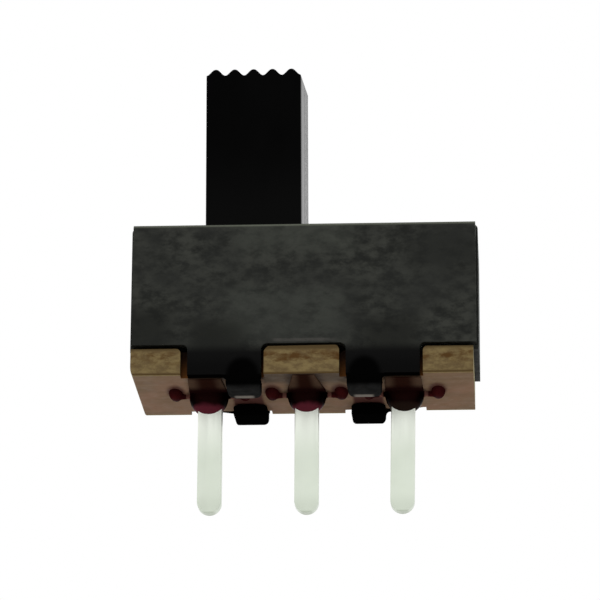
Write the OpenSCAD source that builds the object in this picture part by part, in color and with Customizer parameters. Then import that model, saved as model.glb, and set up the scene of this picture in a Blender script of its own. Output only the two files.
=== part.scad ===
// Sub-miniature slide switch: one pole, two positions, three straight pins for a circuit board.
// X is the way the knob slides, -Y is the front, Z is up. The origin is on the middle pin's axis,
// in the plane of the folded tabs' undersides, and the knob is drawn at the left end of its travel.

/* [Steel frame] */
// Length over the two end walls
frame_l = 8.92; // [8.6:0.02:9.6]
// Depth over the front and back walls
frame_w = 3.6; // [3.4:0.1:4.2]
// Height from the underside of the tabs to the top plate
frame_h = 4.4; // [4.2:0.1:5.2]
// Thickness of the steel sheet
sheet_t = 0.3; // [0.25:0.01:0.32]
// Outer radius of the folds along the top edges
fold_r = 0.12; // [0.08:0.02:0.3]
// How far an end wall stands proud of the long walls' ends
wall_step = 0.06; // [0.05:0.01:0.12]
// Open seam between an end wall and a long wall
seam = 0.03; // [0.02:0.01:0.06]
// Width of the middle notch in a long wall
notch_w = 2.16; // [1.96:0.02:2.18]
// Height that the notches clear above the board
notch_lift = 0.1; // [0.05:0.01:0.2]
// Radius in the notches' upper corners
notch_r = 0.13; // [0.08:0.01:0.2]
// Width of a leg between the notches
leg_w = 1.88; // [1.8:0.02:2.0]
// Width of the tab folded from the inner end of a leg
tab_w = 0.88; // [0.75:0.01:0.92]
// How far a tab's inner edge is set in from its leg's
tab_step = 0.02; // [0.01:0.01:0.05]
// Length of a folded tab, from the outside of its wall
tab_len = 1; // [0.9:0.05:1.2]
// Gap that the tabs' folds leave under the board
tab_gap = 0.05; // [0.03:0.01:0.08]
// Radius on a tab's long edges, where the punch entered
tab_edge_r = 0.12; // [0.06:0.01:0.16]
// Radius on the corners of a tab's free end
tab_tip_r = 0.24; // [0.1:0.01:0.3]
// Radius in the corner between a tab and its leg
tab_root_r = 0.1; // [0.05:0.01:0.14]

/* [Terminal board] */
// Thickness of the laminated board
board_t = 0.7; // [0.6:0.05:0.8]
// Gap between the board's edges and the inside of the frame
board_gap = 0.03; // [0.02:0.01:0.06]
// How far the board's ends stop short of the long walls' ends
board_back = 0.03; // [0.01:0.01:0.05]
// Gap on each side of the middle lug in its notch
mid_lug_gap = 0.12; // [0.09:0.01:0.16]
// Gap between a corner lug and the leg beside it
end_lug_gap = 0.13; // [0.09:0.01:0.2]
// How far off centre along X the board's outline is punched
punch_shift = -0.05; // [-0.06:0.01:0.06]
// How far the lugs stop short of the frame's outer faces
lug_back = 0.02; // [0.01:0.01:0.1]
// Clearance around each leg of a terminal in the board
hole_gap = 0.02; // [0.01:0.01:0.04]

/* [Terminals] */
// Distance between neighbouring pins
pitch = 2.5; // [2.44:0.02:2.54]
// Width of a pin
pin_w = 0.62; // [0.5:0.02:0.7]
// Thickness of the terminals' sheet
pin_t = 0.3; // [0.2:0.05:0.35]
// Length of a pin below the tabs
pin_len = 2.86; // [2.5:0.02:3.6]
// Height of a contact blade above the board
blade_h = 1.4; // [1.1:0.05:1.5]
// Gap between neighbouring blades
blade_gap = 0.5; // [0.4:0.05:0.6]
// Radius on a blade's upper corners
blade_r = 0.15; // [0.05:0.05:0.3]
// Width of the staked prongs at a blade's ends
prong_w = 0.25; // [0.2:0.01:0.3]
// How far the prongs stand out below the board
prong_out = 0.16; // [0.1:0.01:0.22]

/* [Sealant] */
// Radius of the lacquer bead around an outer pin, where it meets the board
side_bead_r = 0.5; // [0.4:0.01:0.52]
// Radius of the lacquer bead around the middle pin
mid_bead_r = 0.52; // [0.45:0.01:0.6]
// Height that the beads hang below the board
bead_h = 0.58; // [0.5:0.01:0.62]
// How far an outer bead sits off its pin, away from the tab
bead_off = 0.04; // [0.03:0.01:0.08]
// Height of the lacquer film at its bead
film_h = 0.16; // [0.1:0.01:0.2]
// Width of the film's run at the front edge of the board
run_w = 0.7; // [0.5:0.05:0.8]
// Length of the run's taper
run_taper = 0.65; // [0.4:0.05:0.8]
// How far the run stops short of the board's edge
run_back = 0.05; // [0.02:0.01:0.1]
// Reach of the film behind a bead
skirt_l = 0.5; // [0.3:0.05:0.6]
// Width of the film's strands to the prongs
strand_w = 0.16; // [0.1:0.01:0.24]
// Thickness of the lacquer over a prong
coat = 0.06; // [0.04:0.01:0.07]

/* [Slider] */
// Distance that the knob travels between its two positions
travel = 2.75; // [2.4:0.05:2.8]
// Width of the knob's front face, along its travel
knob_w = 2.5; // [2:0.05:2.6]
// How much wider the knob is at its back than at its front, on each side
knob_draft = 0.06; // [0.02:0.01:0.08]
// Depth of the knob
knob_d = 1.6; // [1.3:0.05:1.7]
// Height of the knob above the frame, to the tops of its ridges
knob_h = 4.65; // [2:0.01:6]
// Radius on the knob's upright edges
knob_r = 0.08; // [0.04:0.01:0.15]
// Number of grip ridges
ridge_n = 5; // [4:1:6]
// Height of the grip ridges
ridge_h = 0.18; // [0.12:0.01:0.18]
// Clearance of the knob in the frame's slot, at each end
slot_end_gap = 0.1; // [0.05:0.01:0.15]
// Clearance of the knob in the frame's slot, front and back
slot_side_gap = 0.08; // [0.05:0.01:0.12]
// Clearance of the carriage from the end wall at each stop
stop_gap = 0.075; // [0.05:0.005:0.12]
// Clearance of the carriage from the long walls
side_gap = 0.1; // [0.05:0.01:0.15]
// Clearance of the carriage above the board and below the top plate
slide_gap = 0.05; // [0.03:0.01:0.08]
// Width of the channel under the carriage that straddles the blades
channel_w = 1.15; // [1.05:0.05:1.3]
// Thickness of the two ribs that hold the clip
rib_t = 0.5; // [0.3:0.05:0.7]

/* [Contact clip] */
// Thickness of the spring strip
clip_t = 0.12; // [0.1:0.01:0.14]
// Length of the clip along X
clip_l = 2.9; // [2.6:0.05:3]
// Width over the clip's two leaves
clip_w = 0.84; // [0.8:0.01:0.9]
// Height of the clip's bridge above the blades
clip_lift = 0.15; // [0.1:0.01:0.2]
// Outer radius of the rolled contact on a leaf
roll_r = 0.2; // [0.17:0.01:0.2]
// Clearance between a rolled contact and a blade
roll_gap = 0.03; // [0.02:0.01:0.04]
// Height of the rolled contacts above the board
roll_z = 0.75; // [0.6:0.05:0.85]
// Width of the slit that parts each leaf into two fingers
finger_gap = 0.3; // [0.2:0.05:0.4]
// Clearance between the clip and the ribs that hold it
clip_gap = 0.03; // [0.02:0.01:0.05]

/* [Hidden] */
$fn = 96;
EPS = 0.05;

// The long walls are one step shorter than the frame at each end, and the board stops short of them.
wall_l = frame_l - 2 * wall_step;
board_l = wall_l - 2 * board_back;
inner_l = frame_l - 2 * sheet_t;
inner_w = frame_w - 2 * sheet_t;
// The tabs lie under the board, and the end walls stand on it.
board_z = sheet_t + tab_gap;
// The inside of a tab's fold is as round as the board's lower edge lets it be.
bend_r = 0.95 * (board_gap + tab_gap + sqrt(2 * board_gap * tab_gap));
deck_z = board_z + board_t;
notch_z = deck_z + notch_lift;
leg_x0 = notch_w / 2;
leg_x1 = leg_x0 + leg_w;
tab_x0 = leg_x0 + tab_step;
tab_x1 = tab_x0 + tab_w;
ceiling_z = frame_h - sheet_t;
// Each terminal's blade is as wide as the pitch leaves, with its prongs flush with its ends.
blade_w = pitch - blade_gap;
blade_z = deck_z + blade_h;
prong_x = blade_w / 2 - prong_w / 2;
// The lacquer runs to the front edge of the board: behind a leg, or out along the middle lug.
side_run_l = inner_w / 2 - board_gap - run_back;
mid_run_l = frame_w / 2 - lug_back - run_back;
// The carriage fills the frame but for its travel, and its clip lies between the two ribs.
rest_x = -travel / 2;
carriage_l = inner_l - travel - 2 * stop_gap;
carriage_w = inner_w - 2 * side_gap;
carriage_z0 = deck_z + slide_gap;
carriage_z1 = ceiling_z - slide_gap;
clip_z = blade_z + clip_lift;
channel_z = clip_z + clip_t;
rib_z = blade_z + clip_lift / 2;
slot_l = knob_w + 2 * knob_draft + travel + 2 * slot_end_gap;
slot_w = knob_d + 2 * slot_side_gap;
knob_top = frame_h + knob_h;
ridge_p = knob_w / ridge_n;

// ---- Profiles ----

// A rectangle standing on y = 0 with its two upper corners rounded.
module arch(w, h, r) {
    translate([-w / 2, 0]) square([w, h - r]);
    translate([-w / 2 + r, 0]) square([w - 2 * r, h]);
    for (s = [-1, 1]) translate([s * (w / 2 - r), h - r]) circle(r = r);
}

// A rectangle centred on the origin with four rounded corners.
module pad(w, d, r) {
    square([w, d - 2 * r], center = true);
    square([w - 2 * r, d], center = true);
    for (sx = [-1, 1], sy = [-1, 1]) translate([sx * (w / 2 - r), sy * (d / 2 - r)]) circle(r = r);
}

// What is cut from a corner at the origin, of material in the +x +y quarter, to round it.
module corner_cut(r) {
    difference() {
        translate([-EPS, -EPS]) square(r + EPS);
        translate([r, r]) circle(r = r);
    }
}

// A profile drawn in the YZ plane, extruded a length along X and centred on it.
module along_x(l) {
    rotate([90, 0, 90]) linear_extrude(height = l, center = true) children();
}

// A profile drawn in the XZ plane, extruded a length along Y and centred on it.
module along_y(l) {
    rotate([90, 0, 0]) linear_extrude(height = l, center = true) children();
}

// ---- Steel frame ----

// Section across the frame: top plate, two long walls, and the tabs folded in under the board.
module wall_section() {
    difference() {
        arch(frame_w, frame_h, fold_r);
        translate([-inner_w / 2, sheet_t]) square([inner_w, ceiling_z - sheet_t]);
        translate([-frame_w / 2 + tab_len, -EPS]) square([frame_w - 2 * tab_len, sheet_t + 2 * EPS]);
        for (s = [0, 1]) mirror([s, 0]) translate([-frame_w / 2, 0]) corner_cut(sheet_t + bend_r);
    }
    for (s = [0, 1]) mirror([s, 0]) translate([-inner_w / 2, sheet_t]) corner_cut(bend_r);
}

// Outline of a long wall seen from the front: notches, legs and tabs.
module wall_outline() {
    difference() {
        translate([-wall_l / 2, 0]) square([wall_l, frame_h]);
        translate([0, -EPS]) arch(notch_w, notch_z + EPS, notch_r);
        for (s = [0, 1]) mirror([s, 0]) {
            translate([wall_l / 2 + EPS, -EPS]) arch(wall_l + 2 * EPS - 2 * leg_x1, notch_z + EPS, notch_r);
            translate([leg_x0 - EPS, -EPS]) square([tab_x0 - leg_x0 + EPS, board_z + EPS]);
            translate([tab_x1, -EPS]) square([leg_w, board_z + EPS]);
            translate([tab_x0, 0]) corner_cut(tab_edge_r);
            translate([tab_x1, 0]) mirror([1, 0]) corner_cut(tab_edge_r);
        }
    }
    for (s = [0, 1]) mirror([s, 0]) translate([tab_x1, board_z]) mirror([0, 1]) difference() {
        translate([-EPS, -EPS]) square(tab_root_r + EPS);
        translate([tab_root_r, tab_root_r]) circle(r = tab_root_r);
    }
}

// Rounds the two corners at the free end of the tab in the +X -Y quarter.
module tab_tip_cut() {
    translate([0, 0, -EPS]) linear_extrude(height = board_z + EPS) {
        translate([tab_x0, -frame_w / 2 + tab_len]) mirror([0, 1]) corner_cut(tab_tip_r);
        translate([tab_x1, -frame_w / 2 + tab_len]) mirror([1, 0]) mirror([0, 1]) corner_cut(tab_tip_r);
    }
}

// Top plate with the two end walls folded down from it, standing on the board.
module end_walls() {
    along_y(inner_w - 2 * seam) difference() {
        arch(frame_l, frame_h, fold_r);
        translate([-inner_l / 2, -EPS]) square([inner_l, ceiling_z + EPS]);
        translate([-frame_l / 2 - EPS, -EPS]) square([frame_l + 2 * EPS, deck_z + EPS]);
    }
}

module shell() {
    color([0.17, 0.18, 0.17]) difference() {
        union() {
            intersection() {
                along_x(wall_l) wall_section();
                along_y(frame_w + 2 * EPS) wall_outline();
            }
            end_walls();
        }
        for (sx = [0, 1], sy = [0, 1]) mirror([sx, 0, 0]) mirror([0, sy, 0]) tab_tip_cut();
        translate([0, 0, ceiling_z - EPS]) linear_extrude(height = sheet_t + 2 * EPS)
            pad(slot_l, slot_w, notch_r);
    }
}

// ---- Terminals ----

// Outline of the parts of a terminal that pass down through the board, grown by a clearance.
module leg_outline(gap, prong_end) {
    translate([-pin_w / 2 - gap, -pin_len + pin_w / 2]) square([pin_w + 2 * gap, pin_len - pin_w / 2 + deck_z]);
    for (s = [-1, 1]) translate([s * prong_x - prong_w / 2 - gap, prong_end])
        square([prong_w + 2 * gap, deck_z - prong_end]);
}

// Stamped blade with a long round-ended pin and two short prongs, all from one flat strip.
module terminal(x) {
    translate([x, 0, 0]) along_y(pin_t) {
        leg_outline(0, board_z - prong_out);
        translate([0, -pin_len + pin_w / 2]) circle(d = pin_w);
        translate([0, deck_z]) arch(blade_w, blade_h, blade_r);
    }
}

module terminal_left() { color([0.80, 0.82, 0.78]) terminal(-pitch); }

module terminal_middle() { color([0.80, 0.82, 0.78]) terminal(0); }

module terminal_right() { color([0.80, 0.82, 0.78]) terminal(pitch); }

// ---- Terminal board ----

// Outline from above: a body between the walls, with lugs that fill the frame's notches.
module board_outline() {
    lug_l = board_l / 2 - leg_x1 - end_lug_gap;
    lug_w = frame_w - 2 * lug_back;
    mid_lug_w = notch_w - 2 * mid_lug_gap;
    translate([punch_shift, 0]) {
        square([board_l, inner_w - 2 * board_gap], center = true);
        square([mid_lug_w, lug_w], center = true);
        translate([-board_l / 2, -lug_w / 2]) square([lug_l, lug_w]);
        translate([board_l / 2 - lug_l, -lug_w / 2]) square([lug_l, lug_w]);
    }
}

module terminal_board() {
    color([0.50, 0.42, 0.30]) difference() {
        translate([0, 0, board_z]) linear_extrude(height = board_t) board_outline();
        for (i = [-1, 0, 1]) translate([i * pitch, 0, 0]) intersection() {
            along_y(pin_t + 2 * hole_gap) leg_outline(hole_gap, board_z - EPS);
            translate([-pitch, -pitch, board_z - EPS]) cube([2 * pitch, 2 * pitch, board_t + 2 * EPS]);
        }
    }
}

// ---- Sealant ----

// Cap of a sphere hanging below the board, by its radius in plan and its height.
module drop(r, h) {
    ball = (r * r + h * h) / (2 * h);
    intersection() {
        translate([0, 0, board_z - h + ball]) sphere(r = ball);
        translate([-r - EPS, -r - EPS, board_z - h - EPS]) cube([2 * (r + EPS), 2 * (r + EPS), h + EPS]);
    }
}

// The film's outline from above: a run to the front that tapers, a skirt behind, two strands.
module film_outline(r, run_l) {
    polygon([[-r, 0], [-r, run_taper - run_l], [-run_w / 2, -run_l], [run_w / 2, -run_l],
             [r, run_taper - run_l], [r, 0], [r * 0.8, r + skirt_l / 2], [r * 0.3, r + skirt_l],
             [-r * 0.3, r + skirt_l], [-r * 0.8, r + skirt_l / 2]]);
}

// Coating of even thickness on a prong's end.
module prong_coat() {
    depth = prong_out + coat;
    mirror([0, 0, 1]) translate([0, 0, -board_z]) along_y(pin_t + 2 * coat)
        arch(prong_w + 2 * coat, depth, min(coat + prong_w / 4, depth / 2));
}

// Lacquer on one terminal: a bead on the pin, the film around it, and a coat on each prong.
module sealant(x, off, r, run_l) {
    difference() {
        translate([x, 0, 0]) {
            translate([off, 0, 0]) {
                drop(r, bead_h);
                intersection() {
                    drop(run_l + run_back, film_h);
                    linear_extrude(height = board_z) film_outline(r, run_l);
                }
            }
            intersection() {
                drop(run_l + run_back, film_h);
                translate([-prong_x, -strand_w / 2, 0]) cube([2 * prong_x, strand_w, board_z]);
            }
            for (s = [-1, 1]) translate([s * prong_x, 0, 0]) prong_coat();
        }
        terminal(x);
    }
}

module sealant_left() { color([0.22, 0.03, 0.05]) sealant(-pitch, -bead_off, side_bead_r, side_run_l); }

module sealant_middle() { color([0.22, 0.03, 0.05]) sealant(0, 0, mid_bead_r, mid_run_l); }

module sealant_right() { color([0.22, 0.03, 0.05]) sealant(pitch, bead_off, side_bead_r, side_run_l); }

// ---- Slider ----

// Front view of the knob, with a row of round-topped ridges along its upper edge.
module knob_outline() {
    root_z = knob_top - ridge_h;
    tip_r = (ridge_p / 2 - ridge_h) / (sqrt(2) - 1);
    tip_z = knob_top - tip_r;
    translate([-knob_w / 2 - knob_draft, carriage_z1 - EPS])
        square([knob_w + 2 * knob_draft, root_z - carriage_z1 + EPS]);
    for (i = [0:ridge_n - 1]) translate([-knob_w / 2 + (i + 0.5) * ridge_p, 0]) {
        intersection() {
            translate([0, tip_z]) circle(r = tip_r);
            translate([-ridge_p / 2, root_z]) square([ridge_p, ridge_h + EPS]);
        }
        polygon([[-ridge_p / 2, root_z - EPS], [-ridge_p / 2, root_z],
                 [-tip_r * sin(48), tip_z + tip_r * cos(48)], [tip_r * sin(48), tip_z + tip_r * cos(48)],
                 [ridge_p / 2, root_z], [ridge_p / 2, root_z - EPS]]);
    }
}

// The knob from above: narrower at its front by the draft on each side, with rounded corners.
module knob_plan() {
    lean = atan(knob_draft / (knob_d - 2 * knob_r));
    front = knob_w / 2 - knob_r;
    back = front + knob_draft;
    reach = knob_d / 2 - knob_r;
    out = knob_r * cos(lean);
    shy = knob_r * sin(lean);
    polygon([[-front, -reach - knob_r], [front, -reach - knob_r], [front + out, -reach - shy],
             [back + out, reach - shy], [back, reach + knob_r], [-back, reach + knob_r],
             [-back - out, reach - shy], [-front - out, -reach - shy]]);
    for (s = [-1, 1]) {
        translate([s * front, -reach]) circle(r = knob_r);
        translate([s * back, reach]) circle(r = knob_r);
    }
}

// Block inside the frame, with the channel that clears the blades and the ribs that hold the clip.
module carriage() {
    difference() {
        translate([-carriage_l / 2, -carriage_w / 2, carriage_z0])
            cube([carriage_l, carriage_w, carriage_z1 - carriage_z0]);
        translate([-carriage_l / 2 - EPS, -channel_w / 2, carriage_z0 - EPS])
            cube([carriage_l + 2 * EPS, channel_w, channel_z - carriage_z0 + EPS]);
    }
    for (s = [0, 1]) mirror([s, 0, 0]) translate([clip_l / 2 + clip_gap, -channel_w / 2 - EPS, rib_z])
        cube([rib_t, channel_w + 2 * EPS, channel_z - rib_z + EPS]);
}

module slider() {
    color([0.05, 0.05, 0.05]) translate([rest_x, 0, 0]) {
        carriage();
        intersection() {
            along_y(knob_d) knob_outline();
            linear_extrude(height = knob_top + 1) knob_plan();
        }
    }
}

// ---- Contact clip ----

// Half of the clip's section: bridge, leaf, rolled contact towards the blade, short foot.
module leaf_section() {
    roll_y = pin_t / 2 + roll_gap + roll_r;
    roll_up = deck_z + roll_z;
    leaf_y = clip_w / 2 - clip_t;
    translate([-EPS, clip_z]) square([clip_w / 2 + EPS, clip_t]);
    translate([leaf_y, roll_up + roll_r - clip_t]) square([clip_t, clip_z + clip_t - roll_up - roll_r + clip_t]);
    difference() {
        translate([roll_y, roll_up]) circle(r = roll_r);
        translate([roll_y, roll_up]) circle(r = roll_r - clip_t);
        translate([leaf_y + clip_t, roll_up - 1]) square([1, 2]);
        translate([roll_y, roll_up - roll_r + clip_t]) square([1, 2 * (roll_r - clip_t)]);
    }
    translate([leaf_y, roll_up - roll_r - clip_t]) square([clip_t, 2 * clip_t]);
}

module contact_clip() {
    color([0.72, 0.52, 0.28]) translate([rest_x, 0, 0]) difference() {
        along_x(clip_l) for (s = [0, 1]) mirror([s, 0]) leaf_section();
        translate([-finger_gap / 2, -clip_w, deck_z]) cube([finger_gap, 2 * clip_w, blade_h - clip_t]);
    }
}

// ---- Assembly ----

shell();
terminal_board();
terminal_left();
terminal_middle();
terminal_right();
sealant_left();
sealant_middle();
sealant_right();
slider();
contact_clip();
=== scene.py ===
from math import atan2, copysign, cos, pi, radians, sin

import bmesh
import bpy
from mathutils import Matrix, Vector


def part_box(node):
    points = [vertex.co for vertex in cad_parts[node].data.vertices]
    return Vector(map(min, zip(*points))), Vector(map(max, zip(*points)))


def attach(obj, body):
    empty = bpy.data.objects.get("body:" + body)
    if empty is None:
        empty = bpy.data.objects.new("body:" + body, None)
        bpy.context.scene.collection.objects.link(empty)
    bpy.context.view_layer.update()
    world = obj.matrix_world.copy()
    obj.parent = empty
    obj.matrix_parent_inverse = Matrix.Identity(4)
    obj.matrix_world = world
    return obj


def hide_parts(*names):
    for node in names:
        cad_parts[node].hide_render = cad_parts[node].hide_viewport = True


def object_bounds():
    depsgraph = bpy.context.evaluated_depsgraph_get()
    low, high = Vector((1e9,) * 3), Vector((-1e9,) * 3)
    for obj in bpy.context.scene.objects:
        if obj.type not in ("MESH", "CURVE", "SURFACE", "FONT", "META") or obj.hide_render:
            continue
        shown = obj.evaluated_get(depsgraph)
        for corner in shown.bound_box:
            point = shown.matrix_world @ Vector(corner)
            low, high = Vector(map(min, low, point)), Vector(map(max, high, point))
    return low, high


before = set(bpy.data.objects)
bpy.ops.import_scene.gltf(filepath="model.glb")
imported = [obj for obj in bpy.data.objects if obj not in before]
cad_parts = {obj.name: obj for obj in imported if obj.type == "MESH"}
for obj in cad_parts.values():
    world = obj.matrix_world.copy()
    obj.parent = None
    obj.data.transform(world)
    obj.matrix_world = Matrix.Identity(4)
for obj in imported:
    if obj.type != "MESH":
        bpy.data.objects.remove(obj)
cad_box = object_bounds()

# ---- Terminal board ----
# Strip of phenolic laminate punched from sheet, carrying the terminals and closing the frame from
# below. The punch leaves torn, sawdust-yellow edges with brown plies, and one end is worn round.

MM = 0.001
SAME = 0.001 * MM


def linear(hex_code):
    """A written colour such as 746548, as the numbers that light is mixed in."""
    parts = [int(hex_code[i:i + 2], 16) / 255 for i in (0, 2, 4)]
    return [c / 12.92 if c <= 0.04045 else ((c + 0.055) / 1.055) ** 2.4 for c in parts] + [1.0]


def ease(value, start, end):
    """0 at start, 1 at end, eased between them."""
    t = max(0.0, min(1.0, (value - start) / (end - start)))
    return t * t * (3 - 2 * t)


def linked(name, mesh):
    """A new object in the scene with this mesh."""
    piece = bpy.data.objects.new(name, mesh)
    bpy.context.scene.collection.objects.link(piece)
    return piece


def node_copy(node, name):
    """A new piece from a node's own mesh, its loose triangles joined and its flat faces whole."""
    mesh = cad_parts[node].data.copy()
    mesh.name = name
    mesh.materials.clear()
    bm = bmesh.new()
    bm.from_mesh(mesh)
    bmesh.ops.remove_doubles(bm, verts=bm.verts, dist=SAME / 2)
    bmesh.ops.dissolve_limit(bm, angle_limit=radians(0.6), verts=bm.verts, edges=bm.edges)
    bm.to_mesh(mesh)
    bm.free()
    for key in list(mesh.attributes.keys()):
        if key.startswith("custom_normal") or key == "UVMap":
            mesh.attributes.remove(mesh.attributes[key])
    return linked(name, mesh)


def both_ends(edge, test):
    """True where both ends of an edge pass the test."""
    return all(test(v.co) for v in edge.verts)


def round_off(bm, edges, radius, steps):
    """Rounds these edges, which are rounder on the real piece than the rest."""
    bmesh.ops.bevel(bm, geom=edges, offset=radius, segments=steps, profile=0.5,
                    affect="EDGES", clamp_overlap=True)


def soften_edges(piece, width, edge_slot=-1):
    """Rounds every crisp edge a little, as stamping and moulding leave it."""
    crisp = radians(35)
    for face in piece.data.polygons:
        face.use_smooth = True
    piece.data.set_sharp_from_angle(angle=crisp)
    bevel = piece.modifiers.new("edges", "BEVEL")
    bevel.width = width
    bevel.segments = 2
    bevel.limit_method = "ANGLE"
    bevel.angle_limit = crisp
    bevel.harden_normals = True
    bevel.use_clamp_overlap = True
    bevel.material = edge_slot


def bake(piece):
    """Applies what is live on the piece, so that a plain mesh is left."""
    graph = bpy.context.evaluated_depsgraph_get()
    made = bpy.data.meshes.new_from_object(piece.evaluated_get(graph))
    piece.modifiers.clear()
    old, piece.data = piece.data, made
    bpy.data.meshes.remove(old)
    piece.data.name = piece.name


def put(tree, socket, value):
    """Wires a socket to an output, or sets it to a plain value."""
    if isinstance(value, bpy.types.NodeSocket):
        tree.links.new(value, socket)
    else:
        socket.default_value = value


def add_node(tree, kind, *values, **settings):
    """One more node in a tree, with its first sockets wired or set in order."""
    made = tree.nodes.new(kind)
    for word, value in settings.items():
        setattr(made, word, value)
    for socket, value in zip(made.inputs, values):
        put(tree, socket, value)
    return made


class Recipe:
    """The nodes of one material, in the words of the finish they make and in millimetres."""

    def __init__(self, name, **numbers):
        self.material = bpy.data.materials.new(name)
        self.material.use_nodes = True
        self.tree = self.material.node_tree
        self.shader = self.tree.nodes["Principled BSDF"]
        for word, number in numbers.items():
            self.shader.inputs[word.replace("_", " ")].default_value = number
        place = self.add("TexCoord").outputs
        scaled = self.add("VectorMath", place["Object"], operation="SCALE")
        scaled.inputs["Scale"].default_value = 1 / MM
        self.mm = scaled.outputs["Vector"]
        self.x, self.y, self.z = self.add("SeparateXYZ", self.mm).outputs
        self.off_x = self.size(self.x)
        self.facing_x, _, self.facing_z = self.add("SeparateXYZ", place["Normal"]).outputs

    def add(self, kind, *values, **settings):
        return add_node(self.tree, "ShaderNode" + kind, *values, **settings)

    def give(self, word, value):
        """Sets one socket of the shader."""
        put(self.tree, self.shader.inputs[word], value)

    def math(self, operation, *values):
        return self.add("Math", *values, operation=operation).outputs[0]

    def size(self, value):
        """A distance without its sign."""
        return self.math("ABSOLUTE", value)

    def both(self, first, second):
        """On where two masks are on, or one mask at a share of its strength."""
        return self.math("MULTIPLY", first, second)

    def far(self, across, along):
        """How far a point is, from its distances along two axes."""
        square = self.math("MULTIPLY", along, along)
        return self.math("SQRT", self.math("MULTIPLY_ADD", across, across, square))

    def fade(self, value, start, end, low=0.0, high=1.0):
        """From low to high as value goes from start to end, eased at both ends."""
        made = self.add("MapRange", value, start, end, low, high, interpolation_type="SMOOTHSTEP")
        return made.outputs[0]

    def band(self, value, middle, half, soft):
        """1 near the middle, 0 beyond half and its soft edge."""
        away = self.size(self.math("SUBTRACT", value, middle))
        return self.fade(away, half, half + soft, 1.0, 0.0)

    def grain(self, per_mm, stretch=(1, 1, 1), detail=3.0, rough=0.55, shift=0.0):
        """Even noise from 0 to 1, with so many blotches to a millimetre, drawn out by stretch."""
        where = self.add("VectorMath", self.mm, [1 / s for s in stretch],
                         [shift, 1.7 * shift, 0.6 * shift], operation="MULTIPLY_ADD")
        made = self.add("TexNoise", where.outputs["Vector"], noise_dimensions="3D")
        made.inputs["Scale"].default_value = per_mm
        made.inputs["Detail"].default_value = detail
        made.inputs["Roughness"].default_value = rough
        return made.outputs["Fac"]

    def mix(self, share, *tones):
        """From one tone to another as share goes from 0 to 1, each a wire or a written colour."""
        made = self.add("Mix", data_type="RGBA")
        first, second = (linear(t) if isinstance(t, str) else t for t in tones)
        for socket, value in ((0, share), (6, first), (7, second)):
            put(self.tree, made.inputs[socket], value)
        return made.outputs[2]

    def coated(self, tone, *coats):
        """A tone with others laid over it in turn, each where its mask is on."""
        for where, coat in coats:
            tone = self.mix(where, tone, coat)
        return tone

    def bump(self, height, depth_mm):
        made = self.add("Bump")
        made.inputs["Distance"].default_value = depth_mm * MM
        put(self.tree, made.inputs["Height"], height)
        self.give("Normal", made.outputs["Normal"])


board_low, board_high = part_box("terminal_board")
board_under, board_top = board_low[2] / MM, board_high[2] / MM
board_middle = (board_under + board_top) / 2
lug_face = board_high[1] / MM
pitch = 2.5
prong_reach = 0.875
past_prongs = 1.5 * pitch

board = node_copy("terminal_board", "terminal_board_punched")
bm = bmesh.new()
bm.from_mesh(board.data)
worn_end = [e for e in bm.edges
            if both_ends(e, lambda c: c.z < board_low[2] + SAME and c.x < board_low[0] + SAME)]
round_off(bm, worn_end, 0.08 * MM, steps=4)
shoulders = [e for e in bm.edges
             if both_ends(e, lambda c: abs(c.z - board_high[2]) < SAME and abs(c.y) > 1.4 * MM)
             and abs(e.verts[0].co.x - e.verts[1].co.x) < SAME
             and e.verts[0].co.y * e.verts[1].co.y > 0]
round_off(bm, shoulders, 0.14 * MM, steps=5)
lug_outlines = [e for e in bm.edges
                if both_ends(e, lambda c: abs(c.y) > board_high[1] - SAME)
                and max(v.co.z for v in e.verts) > board_low[2] + 0.1 * MM
                and e.calc_face_angle(0.0) > 0.5]
round_off(bm, lug_outlines, 0.05 * MM, steps=3)
# The worn end is drawn up to a taller round, the rear edge has warped, and the front lug bows.
for v in bm.verts:
    x, y, z = (c / MM for c in v.co)
    if x < board_low[0] / MM + 0.1 and z < board_under + 0.1:
        z = board_under + 3 * (z - board_under)
    warp = 0.033 - 0.055 * ease(x, 0.9, 2.0)
    z -= warp * ease(y, 0.3, 1.5)
    bow = 0.06 * ease(abs(x), 1.0, 0.85) * ease(y, -1.3, -1.6)
    z += bow * ease(z, 0.8, 1.0)
    v.co.z = z * MM
bm.to_mesh(board.data)
bm.free()
soften_edges(board, 0.018 * MM)
bake(board)

laminate = Recipe("laminate", Roughness=0.6, Specular_IOR_Level=0.05)
from_pin = laminate.math("PINGPONG", laminate.x, pitch / 2)

# Torn edges: browner plies at mid height, and painted shade, darkest at the top, on the inset where
# the frame's legs stand.
plies = laminate.grain(3.6, stretch=(1.5, 1.5, 0.8), detail=4, rough=0.6)
crumbs = laminate.grain(6.0, stretch=(1.5, 1.5, 0.8), detail=3, rough=0.65, shift=3.0)
brown = laminate.both(laminate.band(laminate.z, board_middle + 0.1, 0.06, 0.2),
                      laminate.fade(plies, 0.42, 0.66))
upper_rim = laminate.fade(laminate.z, board_top - 0.1, board_top)
lower_rim = laminate.fade(laminate.z, board_under + 0.08, board_under + 0.02)
# Painted shade on the inset where the frame's legs stand, darkest at the top.
inset = laminate.fade(laminate.size(laminate.y), lug_face - 0.1, lug_face - 0.2)
inset_shade = laminate.mix(laminate.fade(laminate.z, board_top - 0.1, board_under), "1c0f07", "553315")

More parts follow.
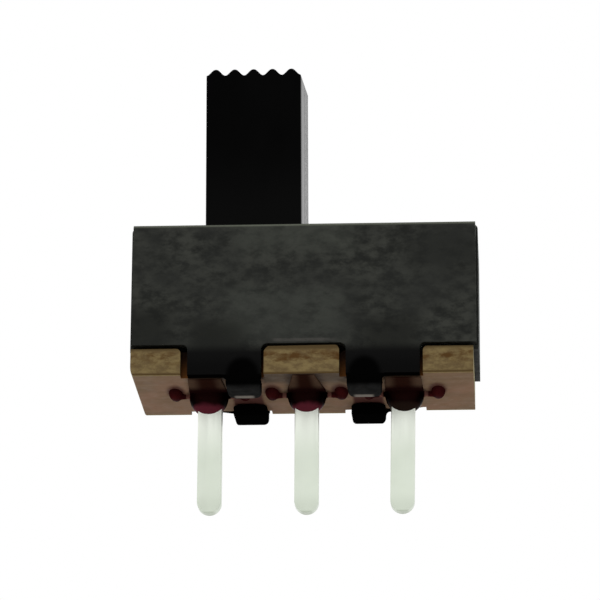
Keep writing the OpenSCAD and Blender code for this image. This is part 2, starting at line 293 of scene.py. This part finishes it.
# Ends: fine even layers, with a darker one at mid height.
layers = laminate.grain(2.4, stretch=(1.0, 4.0, 0.6), detail=4, rough=0.6, shift=4.0)
dark_layer = laminate.both(laminate.band(laminate.z, board_middle, 0.05, 0.15),
                           laminate.fade(layers, 0.45, 0.6))
layered = laminate.coated(
    laminate.mix(laminate.fade(layers, 0.34, 0.66), "877d5b", "a0977a"),
    (dark_layer, "6f6342"))
end_face = laminate.both(laminate.fade(laminate.size(laminate.facing_x), 0.6, 0.9),
                         laminate.math("GREATER_THAN", laminate.off_x, 4.2))
torn = laminate.coated(
    laminate.mix(laminate.fade(crumbs, 0.3, 0.72), "5c4c33", "776745"),
    (brown, "4b3419"),
    (upper_rim, "4a3c25"),
    (lower_rim, "4a3a22"),
    (inset, inset_shade),
    (end_face, layered))

# Underside: the sheet's rolled face, stained by lacquer at each pin and prong, with painted shade
# by the tabs and legs and painted highlights on smears by the prongs.
rolled = laminate.grain(2.2, stretch=(14.0, 0.35, 1.0), detail=2, rough=0.5, shift=1.0)
patches = laminate.grain(0.9, detail=3, rough=0.5, shift=5.0)
torn_rim = laminate.fade(laminate.size(laminate.y), lug_face - 0.12, lug_face - 0.04)
# Painted shade at the front of the middle.
shade_front_middle = laminate.both(laminate.band(laminate.x, 0.0, 1.0, 0.15),
                             laminate.fade(laminate.y, -0.7, -1.2))
run = laminate.both(laminate.fade(from_pin, 0.62, 0.3), laminate.fade(laminate.y, 0.0, -0.3))
ring = laminate.fade(laminate.far(from_pin, laminate.y), 0.72, 0.5)
soaked = laminate.both(laminate.math("MAXIMUM", run, ring), 0.85)
from_prong = laminate.far(laminate.math("SUBTRACT", from_pin, prong_reach),
                          laminate.math("MULTIPLY_ADD", laminate.y, 0.4, 0.1))
no_prong = laminate.math("GREATER_THAN", laminate.off_x, past_prongs)
halo = laminate.fade(laminate.math("ADD", from_prong, no_prong), 0.3, 0.16, 0.0, 0.8)
# Pale flux smears beside the prongs, with a painted highlight on them.
smear_highlight = laminate.both(laminate.band(from_pin, 0.66, 0.08, 0.1),
                      laminate.band(laminate.y, 0.13, 0.06, 0.12))
smear_highlight = laminate.both(smear_highlight, laminate.math("SUBTRACT", 1.0, no_prong))
# Painted shade between the tabs, and painted shadow behind the legs.
shade_between_tabs = laminate.both(laminate.band(laminate.off_x, 1.56, 0.34, 0.1),
                             laminate.fade(laminate.y, -1.0, -0.8))
shadow_behind_leg = laminate.both(laminate.band(laminate.off_x, 2.0, 0.92, 0.1),
                           laminate.fade(laminate.y, -1.2, -1.45))
sheet_face = laminate.coated(
    laminate.mix(laminate.fade(rolled, 0.35, 0.7), "705a45", "7a634d"),
    (laminate.fade(patches, 0.35, 0.7), "80634f"),
    (torn_rim, "7d6b46"),
    (shade_front_middle, "57493c"),
    (soaked, "2e1f18"),
    (halo, "3e1a17"),
    (smear_highlight, "9a8480"),
    (shade_between_tabs, "4c2e29"),
    (shadow_behind_leg, "23170e"))

underside = laminate.fade(laminate.facing_z, -0.6, -0.9)
laminate.give("Base Color", laminate.mix(underside, torn, sheet_face))
laminate.give("Roughness", laminate.fade(crumbs, 0.2, 0.8, 0.5, 0.75))
laminate.bump(laminate.math("ADD", crumbs, plies), 0.012)
board.data.materials.append(laminate.material)
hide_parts("terminal_board")
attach(board, "housing")

# ---- Terminals ----
# Three like terminals, each stamped flat from one strip of brass and plated with tin: a contact
# blade above the board, a round-ended pin below it, and two prongs staked to hold them there.

plating = Recipe("terminal_plating", Metallic=1.0, Roughness=0.34)
pin_end = cad_box[0][2] / MM
drawn = plating.grain(3.4, stretch=(0.6, 1.0, 9.0), detail=3, rough=0.55)
cloud = plating.grain(1.3, detail=2, rough=0.5, shift=2.0)
# Painted light: the pins are lighter near the board, and painted shade darkens them towards their
# tips.
plating.give("Base Color", plating.coated(
    plating.mix(plating.fade(drawn, 0.3, 0.75), "dde5d6", "e3eadd"),
    (plating.fade(cloud, 0.35, 0.75), "dae2d3"),
    (plating.fade(plating.z, -1.5, -0.2), "fafff4"),
    (plating.fade(plating.z, pin_end + 0.6, pin_end + 0.1), "d2dacb"),
    (plating.fade(plating.z, pin_end + 0.06, pin_end + 0.02), "bcc4b4")))
plating.give("Roughness", plating.fade(drawn, 0.25, 0.8, 0.28, 0.42))
plating.bump(drawn, 0.004)

pin_at = {}
for side in ("left", "middle", "right"):
    node = "terminal_" + side
    pin_at[side] = sum(corner[0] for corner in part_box(node)) / 2
    terminal = node_copy(node, node + "_stamped")
    # Prongs end inside their caps of lacquer, and the right pin leans a little.
    for v in terminal.data.vertices:
        below = board_low[2] - v.co.z
        if below > 0 and abs(v.co.x - pin_at[side]) > 0.6 * MM:
            v.co.z = board_low[2] - 0.06 * MM
        elif below > 0 and side == "right":
            v.co.x -= 0.008 * MM + 0.0115 * below
    soften_edges(terminal, 0.02 * MM)
    bake(terminal)
    terminal.data.materials.append(plating.material)
    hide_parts(node)
    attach(terminal, "housing")

# ---- Sealant ----
# Red-brown lacquer dropped on each terminal from below, to keep soldering flux out of the switch.
# It hangs as a bead around the pin, runs thin towards the front edge, and caps the two prongs.

lacquer = Recipe("lacquer", Roughness=0.12, Specular_IOR_Level=0.002)
streak = lacquer.grain(2.6, stretch=(1.0, 2.0, 1.0), detail=2, rough=0.45)
ripple = lacquer.both(lacquer.fade(streak, 0.2, 0.8, -1.0, 1.0), 0.04)
from_pin = lacquer.math("PINGPONG", lacquer.x, pitch / 2)
below = lacquer.math("ADD", lacquer.math("SUBTRACT", board_under, lacquer.z), ripple)

# The run: deepest over the middle of the pin, and narrower on the middle terminal.
narrowing = lacquer.both(lacquer.fade(lacquer.off_x, 1.0, 0.8), lacquer.y)
aside = lacquer.both(from_pin, lacquer.math("MULTIPLY_ADD", narrowing, -0.3, 1.0))
run_tone = lacquer.coated(
    lacquer.mix(lacquer.fade(aside, 0.12, 0.42), "25130e", "48372c"),
    (lacquer.fade(lacquer.y, -0.95, -0.45), "190808"))

# The bead: almost black, with painted red light through its lower end, but not on the right
# terminal.
front = lacquer.math("ADD", lacquer.y, ripple)
lit_through = lacquer.mix(lacquer.fade(lacquer.x, 1.2, 1.3), "54202a", "1e1410")
bead_tone = lacquer.coated(
    lacquer.mix(lacquer.fade(front, -0.26, -0.46), "030000", "190807"),
    (lacquer.fade(below, 0.28, 0.38), "120505"),
    (lacquer.fade(below, 0.31, 0.45), lit_through))
capped = lacquer.mix(lacquer.fade(streak, 0.3, 0.7), "240a0b", "360f10")
lacquer.give("Base Color", lacquer.coated(
    lacquer.mix(lacquer.fade(lacquer.far(from_pin, lacquer.y), 0.6, 0.5), run_tone, bead_tone),
    # Painted highlight: a pale band each side of the bead, across the necks to the prongs.
    (lacquer.band(from_pin, 0.585, 0.03, 0.04), "6a463e"),
    (lacquer.fade(from_pin, 0.6, 0.68), capped)))
lacquer.give("Specular IOR Level", lacquer.fade(below, 0.15, 0.35, 0.0, 0.004))
lacquer.bump(streak, 0.01)


def blob(bm, middle, radii):
    """A rounded lump of lacquer, in millimetres."""
    place = Matrix.Translation(middle) @ Matrix.Diagonal((*radii, 1.0))
    bmesh.ops.create_uvsphere(bm, u_segments=28, v_segments=14, radius=1.0, matrix=place)


def slab(bm, outline, top, bottom):
    """A film of lacquer of this outline, in millimetres."""
    face = bm.faces.new([bm.verts.new((x, y, top)) for x, y in outline])
    lower = bmesh.ops.extrude_face_region(bm, geom=[face])["geom"]
    moved = [v for v in lower if isinstance(v, bmesh.types.BMVert)]
    bmesh.ops.translate(bm, verts=moved, vec=(0, 0, bottom - top))
    bmesh.ops.recalc_face_normals(bm, faces=bm.faces)


def cut_above(bm, height, near):
    """Cuts a mesh level at this height, closes the cut and drops what is above it."""
    cut = bmesh.ops.bisect_plane(bm, geom=[*bm.verts, *bm.edges, *bm.faces], dist=near,
                                 plane_co=(0, 0, height), plane_no=(0, 0, 1), clear_outer=True)
    rim = [e for e in cut["geom_cut"] if isinstance(e, bmesh.types.BMEdge)]
    bmesh.ops.edgeloop_fill(bm, edges=rim)


def bead(name, pin_x, off, hang, run_end, front_w):
    """One terminal's lacquer, in millimetres: bead, run and capped prongs, merged into one skin."""
    radius, film, rooted = 0.50, 0.05, 0.12
    cap_radii, neck_hang = (0.18, 0.44, 0.19), 0.11
    x, under = pin_x + off, board_under
    ball = (radius ** 2 + hang ** 2) / (2 * hang)
    sides = [(radius, 0.1), (radius * 0.98, -0.35), (front_w / 2, run_end)]
    outline = [(x - w, y) for w, y in sides] + [(x + w, y) for w, y in reversed(sides)]
    outline += [(x + radius * 0.7, radius * 0.95), (x, radius * 1.3)]
    outline += [(x - radius * 0.7, radius * 0.95)]
    bm = bmesh.new()
    blob(bm, (x, 0.0, under - hang + ball), (ball, ball * 0.97, ball))
    slab(bm, outline, under + rooted, under - film)
    for way in (-1, 1):
        cap = pin_x + way * (prong_reach + 0.02)
        blob(bm, (cap, -0.13, under), cap_radii)
        inner = x + way * radius * 0.85
        neck = sorted([(inner, -0.03), (inner, 0.03), (cap, 0.13), (cap, -0.13)],
                      key=lambda p: atan2(p[1], p[0] - (inner + cap) / 2))
        slab(bm, neck, under + rooted, under - neck_hang)
    mesh = bpy.data.meshes.new(name)
    bm.to_mesh(mesh)
    bm.free()
    piece = linked(name, mesh)
    one_skin = piece.modifiers.new("one skin", "REMESH")
    one_skin.mode = "VOXEL"
    one_skin.voxel_size = 0.016
    tension = piece.modifiers.new("surface tension", "SMOOTH")
    tension.factor = 0.5
    tension.iterations = 10
    bake(piece)
    bm = bmesh.new()
    bm.from_mesh(piece.data)
    cut_above(bm, under + 0.015, near=1e-6)
    bmesh.ops.recalc_face_normals(bm, faces=bm.faces)
    bmesh.ops.scale(bm, vec=(MM, MM, MM), verts=bm.verts)
    for face in bm.faces:
        face.smooth = True
    bm.to_mesh(piece.data)
    bm.free()
    return piece


for side, off, hang, run_end, front_w in (
    ("left", -0.04, 0.60, -1.40, 0.86),
    ("middle", 0.0, 0.57, -1.70, 0.56),
    ("right", 0.02, 0.58, -1.40, 0.92),
):
    drop = bead("sealant_" + side + "_lacquer", pin_at[side] / MM, off, hang, run_end, front_w)
    drop.data.materials.append(lacquer.material)
    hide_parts("sealant_" + side)
    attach(drop, "housing")

# ---- Contact clip ----
# Spring-bronze strip folded over the row of blades, its rolled fingers bridging two of them at a
# time. It lies loose in the slider's channel between two ribs.

bronze = Recipe("spring_bronze", Metallic=1.0, Roughness=0.3)
strip_grain = bronze.grain(2.5, stretch=(9.0, 1.0, 1.0), detail=3, rough=0.55)
tarnish = bronze.grain(1.1, detail=3, rough=0.6, shift=4.0)
bronze.give("Base Color", bronze.coated(
    bronze.mix(bronze.fade(strip_grain, 0.3, 0.75), "c79a5c", "d8b070"),
    (bronze.fade(tarnish, 0.5, 0.8), "a4713a")))
bronze.give("Roughness", bronze.fade(strip_grain, 0.2, 0.8, 0.24, 0.4))
bronze.bump(strip_grain, 0.003)
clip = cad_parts["contact_clip"]
clip.data.materials.clear()
clip.data.materials.append(bronze.material)

# ---- Slider ----
# One black moulding: a tall knob with five grip ridges across its end, on a carriage that slides
# between the board and the frame's top plate, with a channel below for the blades and the clip.

slider_low, slider_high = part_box("slider")
knob_mid = (slider_low[0] + slider_high[0]) / 2
knob_top = slider_high[2]
plate_t, slide_gap = 0.30, 0.05
carriage_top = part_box("shell")[1][2] - (plate_t + slide_gap) * MM

plastic = Recipe("slider_plastic", Roughness=0.16, Specular_IOR_Level=0.024)
skin = plastic.grain(9.0, detail=3, rough=0.6)
flow = plastic.grain(0.8, stretch=(1.0, 1.0, 2.5), detail=3, rough=0.5, shift=2.0)
low_end = plastic.fade(plastic.z, knob_top / MM - 2.0, knob_top / MM - 5.0)
plastic.give("Base Color", plastic.coated(
    plastic.mix(plastic.fade(flow, 0.3, 0.75), "000000", "020202"),
    (low_end, "080808")))
plastic.give("Roughness", plastic.fade(skin, 0.2, 0.8, 0.12, 0.22))
side_wall = plastic.fade(plastic.facing_x, 0.85, 0.97)
by_corner = plastic.both(plastic.fade(plastic.y, 0.0, -0.45), plastic.fade(plastic.y, -0.74, -0.56))
polished = plastic.both(side_wall, by_corner)
plastic.give("Specular IOR Level", plastic.fade(polished, 0.0, 1.0, 0.024, 0.32))
plastic.bump(skin, 0.003)


def ridged_knob_tree(material):
    """A block whose upper end is a row of rounded ridges, drawn down from a waved sheet."""
    tree = bpy.data.node_groups.new("ridged_knob", "GeometryNodeTree")
    lengths = ("Front Width", "Back Width", "Depth", "Middle", "Lean", "Top", "Foot",
               "Ridge Height")
    sockets = {}
    for word in (*lengths, "Ridges"):
        kind = "NodeSocketFloat" if word in lengths else "NodeSocketInt"
        made = tree.interface.new_socket(name=word, in_out="INPUT", socket_type=kind)
        sockets[word] = made.identifier
    tree.interface.new_socket(name="Geometry", in_out="OUTPUT", socket_type="NodeSocketGeometry")
    given = add_node(tree, "NodeGroupInput").outputs

    def maths(operation, *values):
        return add_node(tree, "ShaderNodeMath", *values, operation=operation).outputs[0]

    def geometry(kind, *values, **settings):
        return add_node(tree, "GeometryNode" + kind, *values, **settings).outputs

    def point(*parts):
        return add_node(tree, "ShaderNodeCombineXYZ", *parts).outputs[0]

    def here():
        return add_node(tree, "ShaderNodeSeparateXYZ", geometry("InputPosition")[0]).outputs

    steps_to_a_ridge = 16.0
    columns = maths("MULTIPLY_ADD", given["Ridges"], steps_to_a_ridge, 1.0)
    sheet = geometry("MeshGrid", 1.0, 1.0, columns, 2)["Mesh"]
    across, backward, _ = here()
    ridge = maths("FRACT", maths("MULTIPLY", maths("ADD", across, 0.5), given["Ridges"]))
    off_crest = maths("MULTIPLY", maths("ABSOLUTE", maths("SUBTRACT", ridge, 0.5)), 2.0)
    fall = maths("MULTIPLY_ADD", maths("COSINE", maths("MULTIPLY", off_crest, pi)), -0.5, 0.5)
    drop = maths("MULTIPLY", maths("POWER", fall, 1.15), given["Ridge Height"])
    widening = maths("SUBTRACT", given["Back Width"], given["Front Width"])
    width = maths("MULTIPLY_ADD", maths("ADD", backward, 0.5), widening, given["Front Width"])
    waved = geometry("SetPosition", sheet, True, point(
        maths("MULTIPLY_ADD", across, width, given["Middle"]),
        maths("MULTIPLY", backward, given["Depth"]),
        maths("SUBTRACT", given["Top"], drop)))[0]
    drawn = geometry("ExtrudeMesh", waved, True, (0.0, 0.0, 0.0), 0.0, False, mode="FACES")
    x, y, _ = here()
    foot = point(maths("ADD", x, given["Lean"]), y, given["Foot"])
    block = geometry("SetPosition", drawn["Mesh"], drawn["Top"], foot)[0]
    whole = add_node(tree, "GeometryNodeJoinGeometry")
    tree.links.new(waved, whole.inputs[0])
    tree.links.new(block, whole.inputs[0])
    closed = geometry("MergeByDistance", whole.outputs[0], True, 0.0002 * MM)[0]
    real = geometry("RealizeInstances", closed)[0]
    dressed = geometry("SetMaterial", real, True, material)[0]
    add_node(tree, "NodeGroupOutput", dressed)
    return tree, sockets


tree, sockets = ridged_knob_tree(plastic.material)
knob = linked("knob", bpy.data.meshes.new("knob"))
maker = knob.modifiers.new("ridged knob", "NODES")
maker.node_group = tree
for word, value in (
    ("Front Width", 2.49 * MM), ("Back Width", 2.7 * MM), ("Depth", 1.6 * MM),
    ("Middle", knob_mid - 0.036 * MM), ("Lean", 0.04 * MM), ("Top", knob_top),
    ("Foot", carriage_top - 0.05 * MM), ("Ridges", 5), ("Ridge Height", 0.17 * MM),
):
    maker[sockets[word]] = value
bake(knob)

slider = node_copy("slider", "slider_moulded")
bm = bmesh.new()
bm.from_mesh(slider.data)
cut_above(bm, carriage_top - 0.002 * MM, near=1e-8)
bm.from_mesh(knob.data)
bmesh.ops.remove_doubles(bm, verts=bm.verts, dist=SAME / 10)
bmesh.ops.recalc_face_normals(bm, faces=bm.faces)
upright = [e for e in bm.edges
           if min(v.co.z for v in e.verts) < carriage_top
           and max(v.co.z for v in e.verts) > knob_top - 0.3 * MM
           and abs(e.verts[0].co.x - knob_mid) > 1.1 * MM and e.calc_face_angle(0.0) > 1.0]
round_off(bm, upright, 0.05 * MM, steps=3)
bm.to_mesh(slider.data)
bm.free()
bpy.data.objects.remove(knob)
soften_edges(slider, 0.02 * MM)
bake(slider)
slider.data.materials.clear()
slider.data.materials.append(plastic.material)
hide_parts("slider")
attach(slider, "slider")

# ---- Steel frame ----
# Cover stamped and folded from one piece of thin steel with a dark finish. Four narrow tabs at the
# feet of its long walls are folded in under the board, and hold the switch together.

frame_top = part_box("shell")[1][2] / MM
notch_top = 1.15
tab_x = 1.54
shell = node_copy("shell", "shell_folded")
soften_edges(shell, 0.03 * MM, edge_slot=1)

steel = Recipe("shell_steel", Roughness=0.42, Specular_IOR_Level=0.03)
mottle = steel.grain(4.0, stretch=(1.6, 1.0, 1.0), detail=5, rough=0.65)
patch = steel.grain(0.8, stretch=(1.4, 1.0, 1.0), detail=3, rough=0.55, shift=7.0)
fine = steel.grain(15.0, stretch=(1.8, 1.0, 1.0), detail=2, rough=0.5, shift=3.0)

# Clouds over the walls: a pale band across the middle, a painted highlight along the top, a dark
# corner, a dark end, and painted shade above the legs.
broken = steel.fade(mottle, 0.2, 0.7, 0.3, 0.7)
clouds = []
for across, x, wide, z, tall, tone in (
    (steel.x, -0.5, 1.1, 1.95, 0.35, "393b37"),
    (steel.x, -0.2, 1.1, 4.1, 0.2, "3b3d38"),
    (steel.x, 3.6, 0.6, 3.6, 0.2, "20211f"),
    (steel.x, -4.1, 0.35, 1.5, 0.35, "171816"),
    (steel.off_x, 2.2, 0.35, 1.25, 0.25, "131412"),
):
    zone = steel.both(steel.band(across, x, wide, 0.8), steel.band(steel.z, z, tall, 0.6))
    clouds.append((steel.both(zone, broken), tone))

# End walls: a painted highlight at the top fold, greener at the foot.
end_wall = steel.fade(steel.size(steel.facing_x), 0.6, 0.85)
end_tone = steel.coated(
    steel.mix(steel.fade(mottle, 0.3, 0.7), "282b27", "393d38"),
    (steel.fade(steel.z, frame_top - 0.6, frame_top - 0.3), "8e938f"),
    (steel.fade(steel.z, notch_top + 0.1, notch_top - 0.2), "1b241e"))

# Painted light on the worked metal: a painted highlight on the rim over the middle notch, painted
# shade on the legs, and black painted shade at the bends where the tabs turn in.
over_notch = steel.both(steel.band(steel.z, notch_top + 0.1, 0.02, 0.04),
                        steel.band(steel.x, 0.0, 0.65, 0.25))
notch_rim_highlight = steel.both(over_notch, steel.fade(mottle, 0.3, 0.6, 0.2, 1.0))
long_wall = steel.math("SUBTRACT", 1.0, end_wall)
legs = steel.both(steel.fade(steel.z, notch_top + 0.05, notch_top - 0.25), long_wall)
leg_shade = steel.mix(steel.fade(steel.z, notch_top - 0.2, 0.5), "0b0b0b", "060606")
across_bend = steel.math("DIVIDE", steel.math("SUBTRACT", steel.off_x, 1.55), 0.52)
up_bend = steel.math("DIVIDE", steel.math("SUBTRACT", steel.z, 0.3), 0.62)
bend_shade = steel.both(steel.fade(steel.far(across_bend, up_bend), 1.0, 0.6), long_wall)
# Painted highlight along the top fold.
fold_highlight = steel.both(steel.fade(steel.z, frame_top - 0.11, frame_top),
                       steel.fade(steel.facing_z, 0.9, 0.5))
steel.give("Base Color", steel.coated(
    steel.mix(steel.fade(mottle, 0.33, 0.67), "1f201e", "363733"),
    (steel.fade(patch, 0.4, 0.68, 0.0, 0.7), "272826"),
    *clouds,
    (end_wall, end_tone),
    (steel.fade(steel.facing_z, -0.5, -0.8), "262622"),
    (notch_rim_highlight, "403f3c"),
    (legs, leg_shade),
    (bend_shade, "000000"),
    (fold_highlight, "74786a")))
steel.give("Specular IOR Level", steel.fade(bend_shade, 0.0, 1.0, 0.03, 0.012))
steel.give("Roughness", steel.fade(mottle, 0.2, 0.8, 0.36, 0.52))
steel.bump(steel.math("MULTIPLY_ADD", mottle, 2.0, fine), 0.006)
shell.data.materials.append(steel.material)

# Bevelled edges: worn paler steel with painted glints in spots, and painted shade on the edges
# below the notch tops.
edge_wear_and_glint = Recipe("shell_steel_worn_edge_and_glint", Roughness=0.38, Specular_IOR_Level=0.1)
rub = edge_wear_and_glint.grain(3.0, detail=3, rough=0.6, shift=9.0)
edge_wear_and_glint.give("Base Color", edge_wear_and_glint.coated(
    edge_wear_and_glint.mix(edge_wear_and_glint.fade(rub, 0.35, 0.7), "2f302c", "55574d"),
    (edge_wear_and_glint.fade(rub, 0.64, 0.7), "8c8c80"),
    (edge_wear_and_glint.fade(edge_wear_and_glint.z, notch_top, notch_top - 0.3), "0c0c0c")))
edge_wear_and_glint.give("Roughness", edge_wear_and_glint.fade(rub, 0.2, 0.8, 0.3, 0.48))
shell.data.materials.append(edge_wear_and_glint.material)

# Folds: painted shade, black on the rear tabs and up the bends, greyer on the front tabs, with a
# painted highlight at the tip of each front tab.
folds = Recipe("shell_steel_folds", Roughness=0.5, Specular_IOR_Level=0.0)
scuff = folds.grain(4.0, detail=3, rough=0.6, shift=6.0)
scuffed = folds.mix(folds.fade(scuff, 0.3, 0.7), "1d1d1d", "272727")
front_tab = folds.fade(folds.y, 0.2, -0.2)
along_tip = folds.band(folds.size(folds.math("ADD", folds.x, 0.02)), tab_x - 0.01, 0.19, 0.1)
tip_highlight = folds.both(folds.both(folds.fade(folds.y, -1.08, -0.96), along_tip),
                     folds.fade(folds.y, 0.0, -0.2))
# Painted shade on the rear tabs and bends, painted highlight at the front tab tips.
folds.give("Base Color", folds.coated(
    folds.mix(front_tab, "040404", scuffed),
    (folds.fade(folds.z, 0.01, 0.15), "030303"),
    (tip_highlight, "7a746e")))
folds.bump(scuff, 0.004)
shell.data.materials.append(folds.material)
bake(shell)

for face in shell.data.polygons:
    low = face.center.z / MM
    if low < 0.3 or low < 0.5 and face.normal.z < -0.2:
        face.material_index = 2
# The rear tabs are pinched at their ends and sag, the rear feet are cut back at their outer
# corners, and the middle notch in the front wall bows up.
for v in shell.data.vertices:
    x, y, z = (c / MM for c in v.co)
    middle = copysign(tab_x, x)
    if abs(x - middle) < 0.5:
        x -= (x - middle) * 0.13 * ease(z, 0.2, 0.0) * ease(y, 1.2, 1.45)
    sag = 0.035 + 0.045 * ease(abs(x), 2.05, 1.9)
    z -= sag * ease(y, 0.8, 1.4) * ease(z, 0.4, 0.2)
    corner = 0.12 * ease(abs(x), 2.4, 2.85)
    z += corner * ease(y, 1.4, 1.5) * ease(z, 0.75, 0.5)
    bow = 0.06 * ease(abs(x), 1.0, 0.85) * ease(y, -1.3, -1.45)
    z += bow * ease(z, 0.95, 1.1) * ease(z, 1.4, 1.2)
    v.co = Vector((x, y, z)) * MM
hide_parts("shell")
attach(shell, "housing")

# ---- Studio ----
# A pale floor at the pins' tips, seen through from below, two soft lamps and even light all round.

floor_z = cad_box[0][2]
reach = 0.25
floor_mesh = bpy.data.meshes.new("floor")
corners = [(x * reach, y * reach, floor_z) for x, y in ((-1, -1), (1, -1), (1, 1), (-1, 1))]
floor_mesh.from_pydata(corners, [], [(0, 1, 2, 3)])
floor = linked("floor", floor_mesh)

pale = Recipe("floor_pale", Roughness=0.8, Specular_IOR_Level=0.1)
speck = pale.grain(0.3, detail=2)
pale.give("Base Color", pale.mix(pale.fade(speck, 0.3, 0.7), "f2f2f0", "f6f6f4"))
from_below = pale.add("NewGeometry").outputs["Backfacing"]
clear = pale.add("BsdfTransparent").outputs[0]
one_sided = pale.add("MixShader", from_below, pale.shader.outputs[0], clear).outputs[0]
ray = pale.add("LightPath").outputs
mirrored = pale.math("MAXIMUM", ray["Is Glossy Ray"], ray["Is Transmission Ray"])
white = pale.add("Emission", (1.0, 1.0, 1.0, 1.0), 1.0).outputs[0]
seen = pale.add("MixShader", mirrored, one_sided, white).outputs[0]
put(pale.tree, pale.tree.nodes["Material Output"].inputs["Surface"], seen)
floor_mesh.materials.append(pale.material)

world = bpy.data.worlds.new("studio")
bpy.context.scene.world = world
world.use_nodes = True
sky = world.node_tree
ray = add_node(sky, "ShaderNodeLightPath").outputs
shown = ray["Is Camera Ray"]
for other in (ray["Is Glossy Ray"], ray["Is Transmission Ray"]):
    shown = add_node(sky, "ShaderNodeMath", shown, other, operation="MAXIMUM").outputs[0]
lit, white_level = 0.7, 1.0
level = add_node(sky, "ShaderNodeMapRange", shown, 0.0, 1.0, lit, white_level)
backdrop = sky.nodes["Background"]
backdrop.inputs["Color"].default_value = (1.0, 1.0, 1.0, 1.0)
put(sky, backdrop.inputs["Strength"], level.outputs["Result"])

middle = Vector([(a + b) / 2 for a, b in zip(*cad_box)])
for name, place, width, watts in (
    ("lamp_front", (-0.05, -0.16, 0.10), 0.12, 0.10),
    ("lamp_top", (0.06, 0.05, 0.20), 0.14, 0.10),
):
    light = bpy.data.lights.new(name, "AREA")
    light.shape = "DISK"
    light.size = width
    light.energy = watts
    lamp = linked(name, light)
    lamp.location = Vector(place)
    lamp.rotation_euler = (middle - Vector(place)).to_track_quat("-Z", "Y").to_euler()
    lamp.visible_glossy = False

azimuth, elevation, roll = radians(3.483), radians(-17.849), radians(0.324)
distance, aim = 95.838 * MM, Vector((-0.199, 0.0, 2.887)) * MM
back = Vector((sin(azimuth) * cos(elevation), -cos(azimuth) * cos(elevation), sin(elevation)))
right = (-back).cross(Vector((0, 0, 1))).normalized()
up = right.cross(-back)
turn = (right * cos(roll) + up * sin(roll), -right * sin(roll) + up * cos(roll), back)
lens = bpy.data.cameras.new("camera")
lens.lens = 220.6
lens.sensor_width = 36.0
lens.clip_start = 0.002
lens.clip_end = 5.0
camera = linked("camera", lens)
camera.matrix_world = Matrix.Translation(aim + back * distance) @ Matrix(turn).transposed().to_4x4()
bpy.context.scene.camera = camera
bpy.context.scene.view_settings.view_transform = "Standard"
